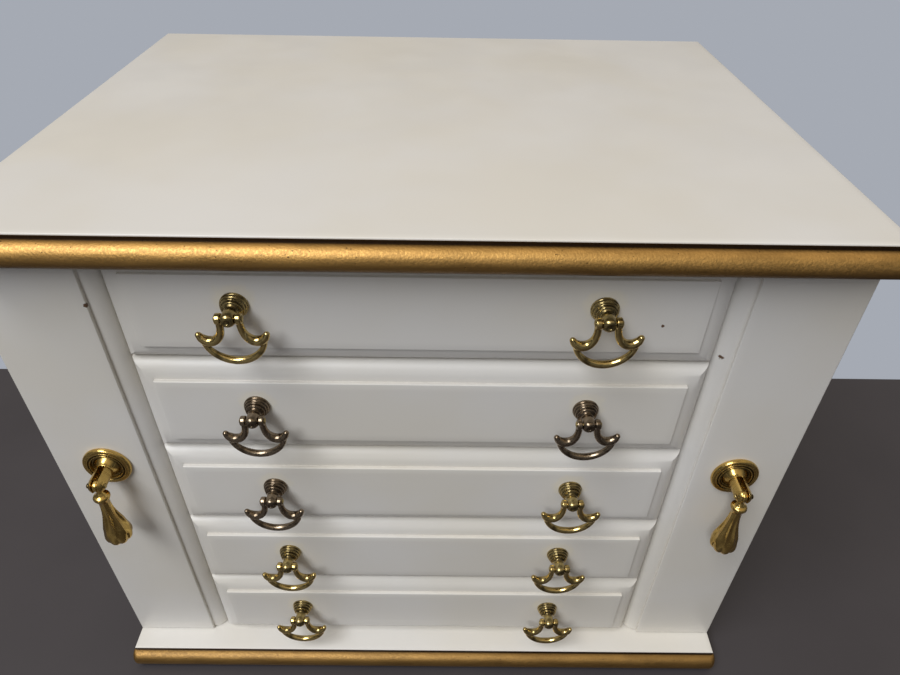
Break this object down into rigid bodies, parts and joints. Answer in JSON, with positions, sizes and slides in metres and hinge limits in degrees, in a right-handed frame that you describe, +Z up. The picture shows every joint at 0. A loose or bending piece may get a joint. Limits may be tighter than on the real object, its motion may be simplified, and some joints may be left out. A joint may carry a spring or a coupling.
{
  "type": "jewellery chest",
  "caption": "Free-standing jewellery chest with moulded top and base boards, a bank of drawers with bail pulls and two swing-out side doors with pendant pulls and necklace hooks.",
  "frame": {"origin": "centre of the flats of the base board, at the underside of the base felt, on the surface that the chest stands on", "axes": "+X to the viewer's right along the longest side, +Y from the front to the back, +Z up"},
  "size_m": [0.3538, 0.2645, 0.2927],
  "materials": {
    "cream_paint": "satin cream paint over wood, gold paint on the boards' beads",
    "bare_wood": "plain sanded wood",
    "cast_brass": "polished cast brass, darkened in the recesses",
    "hinge_brass": "satin brass",
    "steel": "dull steel",
    "velvet": "burgundy velvet",
    "felt": "black felt"
  },
  "bodies": {
    "carcass": {"top_board": "cream_paint", "base_board": "cream_paint", "base_felt": "felt", "back_board": "cream_paint", "side_partitions": "cream_paint", "drawer_runners": "bare_wood", "hinge_frame_leaves": "hinge_brass", "hinge_pins": "hinge_brass", "catch_discs": "steel"},
    "door_left": {"door_left_stile": "cream_paint", "door_left_panel": "cream_paint", "door_left_lining": "velvet", "door_left_hook_bar": "hinge_brass", "door_left_magnets": "steel", "door_left_hinge_leaves": "hinge_brass", "pendant_left_plate": "cast_brass"},
    "door_right": {"door_right_stile": "cream_paint", "door_right_panel": "cream_paint", "door_right_lining": "velvet", "door_right_hook_bar": "hinge_brass", "door_right_magnets": "steel", "door_right_hinge_leaves": "hinge_brass", "pendant_right_plate": "cast_brass"},
    "pendant_left": {"pendant_left_drop": "cast_brass"},
    "pendant_right": {"pendant_right_drop": "cast_brass"},
    "drawer_1": {"drawer_1_front": "cream_paint", "drawer_1_box": "bare_wood", "drawer_1_bottom": "bare_wood", "drawer_1_lining": "velvet", "drawer_1_pull_posts": "cast_brass"},
    "drawer_2": {"drawer_2_front": "cream_paint", "drawer_2_box": "bare_wood", "drawer_2_bottom": "bare_wood", "drawer_2_lining": "velvet", "drawer_2_pull_posts": "cast_brass"},
    "drawer_3": {"drawer_3_front": "cream_paint", "drawer_3_box": "bare_wood", "drawer_3_bottom": "bare_wood", "drawer_3_lining": "velvet", "drawer_3_pull_posts": "cast_brass"},
    "drawer_4": {"drawer_4_front": "cream_paint", "drawer_4_box": "bare_wood", "drawer_4_bottom": "bare_wood", "drawer_4_lining": "velvet", "drawer_4_pull_posts": "cast_brass"},
    "drawer_5": {"drawer_5_front": "cream_paint", "drawer_5_box": "bare_wood", "drawer_5_bottom": "bare_wood", "drawer_5_lining": "velvet", "drawer_5_pull_posts": "cast_brass"},
    "drawer_1_bail_left": {"drawer_1_bail_left": "cast_brass"},
    "drawer_1_bail_right": {"drawer_1_bail_right": "cast_brass"},
    "drawer_2_bail_left": {"drawer_2_bail_left": "cast_brass"},
    "drawer_2_bail_right": {"drawer_2_bail_right": "cast_brass"},
    "drawer_3_bail_left": {"drawer_3_bail_left": "cast_brass"},
    "drawer_3_bail_right": {"drawer_3_bail_right": "cast_brass"},
    "drawer_4_bail_left": {"drawer_4_bail_left": "cast_brass"},
    "drawer_4_bail_right": {"drawer_4_bail_right": "cast_brass"},
    "drawer_5_bail_left": {"drawer_5_bail_left": "cast_brass"},
    "drawer_5_bail_right": {"drawer_5_bail_right": "cast_brass"}
  },
  "joints": [
    {"name": "door_left_hinge", "type": "hinge", "parent": "carcass", "child": "door_left", "pos_m": [-0.17465, 0.1197, 0.146], "axis": [0, 0, -1], "range_deg": [0, 100]},
    {"name": "door_right_hinge", "type": "hinge", "parent": "carcass", "child": "door_right", "pos_m": [0.17465, 0.1197, 0.146], "axis": [0, 0, 1], "range_deg": [0, 100]},
    {"name": "pendant_left_swing", "type": "hinge", "parent": "door_left", "child": "pendant_left", "pos_m": [-0.1476, -0.1297, 0.1632], "axis": [-1, 0, 0], "range_deg": [-10, 150]},
    {"name": "pendant_right_swing", "type": "hinge", "parent": "door_right", "child": "pendant_right", "pos_m": [0.1476, -0.1297, 0.1606], "axis": [-1, 0, 0], "range_deg": [-10, 150]},
    {"name": "drawer_1_slide", "type": "slide", "parent": "carcass", "child": "drawer_1", "axis": [0, -1, 0], "range_m": [0, 0.16]},
    {"name": "drawer_2_slide", "type": "slide", "parent": "carcass", "child": "drawer_2", "axis": [0, -1, 0], "range_m": [0, 0.16]},
    {"name": "drawer_3_slide", "type": "slide", "parent": "carcass", "child": "drawer_3", "axis": [0, -1, 0], "range_m": [0, 0.16]},
    {"name": "drawer_4_slide", "type": "slide", "parent": "carcass", "child": "drawer_4", "axis": [0, -1, 0], "range_m": [0, 0.16]},
    {"name": "drawer_5_slide", "type": "slide", "parent": "carcass", "child": "drawer_5", "axis": [0, -1, 0], "range_m": [0, 0.16]},
    {"name": "drawer_1_bail_left_swing", "type": "hinge", "parent": "drawer_1", "child": "drawer_1_bail_left", "pos_m": [-0.0705, -0.1279, 0.2574], "axis": [-1, 0, 0], "range_deg": [-18, 150]},
    {"name": "drawer_1_bail_right_swing", "type": "hinge", "parent": "drawer_1", "child": "drawer_1_bail_right", "pos_m": [0.0705, -0.1279, 0.2574], "axis": [-1, 0, 0], "range_deg": [-18, 150]},
    {"name": "drawer_2_bail_left_swing", "type": "hinge", "parent": "drawer_2", "child": "drawer_2_bail_left", "pos_m": [-0.0705, -0.1279, 0.20426], "axis": [-1, 0, 0], "range_deg": [-18, 150]},
    {"name": "drawer_2_bail_right_swing", "type": "hinge", "parent": "drawer_2", "child": "drawer_2_bail_right", "pos_m": [0.0705, -0.1279, 0.20426], "axis": [-1, 0, 0], "range_deg": [-18, 150]},
    {"name": "drawer_3_bail_left_swing", "type": "hinge", "parent": "drawer_3", "child": "drawer_3_bail_left", "pos_m": [-0.0705, -0.1279, 0.15112], "axis": [-1, 0, 0], "range_deg": [-18, 150]},
    {"name": "drawer_3_bail_right_swing", "type": "hinge", "parent": "drawer_3", "child": "drawer_3_bail_right", "pos_m": [0.0705, -0.1279, 0.15112], "axis": [-1, 0, 0], "range_deg": [-18, 150]},
    {"name": "drawer_4_bail_left_swing", "type": "hinge", "parent": "drawer_4", "child": "drawer_4_bail_left", "pos_m": [-0.0705, -0.1279, 0.09798], "axis": [-1, 0, 0], "range_deg": [-18, 150]},
    {"name": "drawer_4_bail_right_swing", "type": "hinge", "parent": "drawer_4", "child": "drawer_4_bail_right", "pos_m": [0.0705, -0.1279, 0.09798], "axis": [-1, 0, 0], "range_deg": [-18, 150]},
    {"name": "drawer_5_bail_left_swing", "type": "hinge", "parent": "drawer_5", "child": "drawer_5_bail_left", "pos_m": [-0.0705, -0.1279, 0.04484], "axis": [-1, 0, 0], "range_deg": [-18, 150]},
    {"name": "drawer_5_bail_right_swing", "type": "hinge", "parent": "drawer_5", "child": "drawer_5_bail_right", "pos_m": [0.0705, -0.1279, 0.04484], "axis": [-1, 0, 0], "range_deg": [-18, 150]}
  ]
}
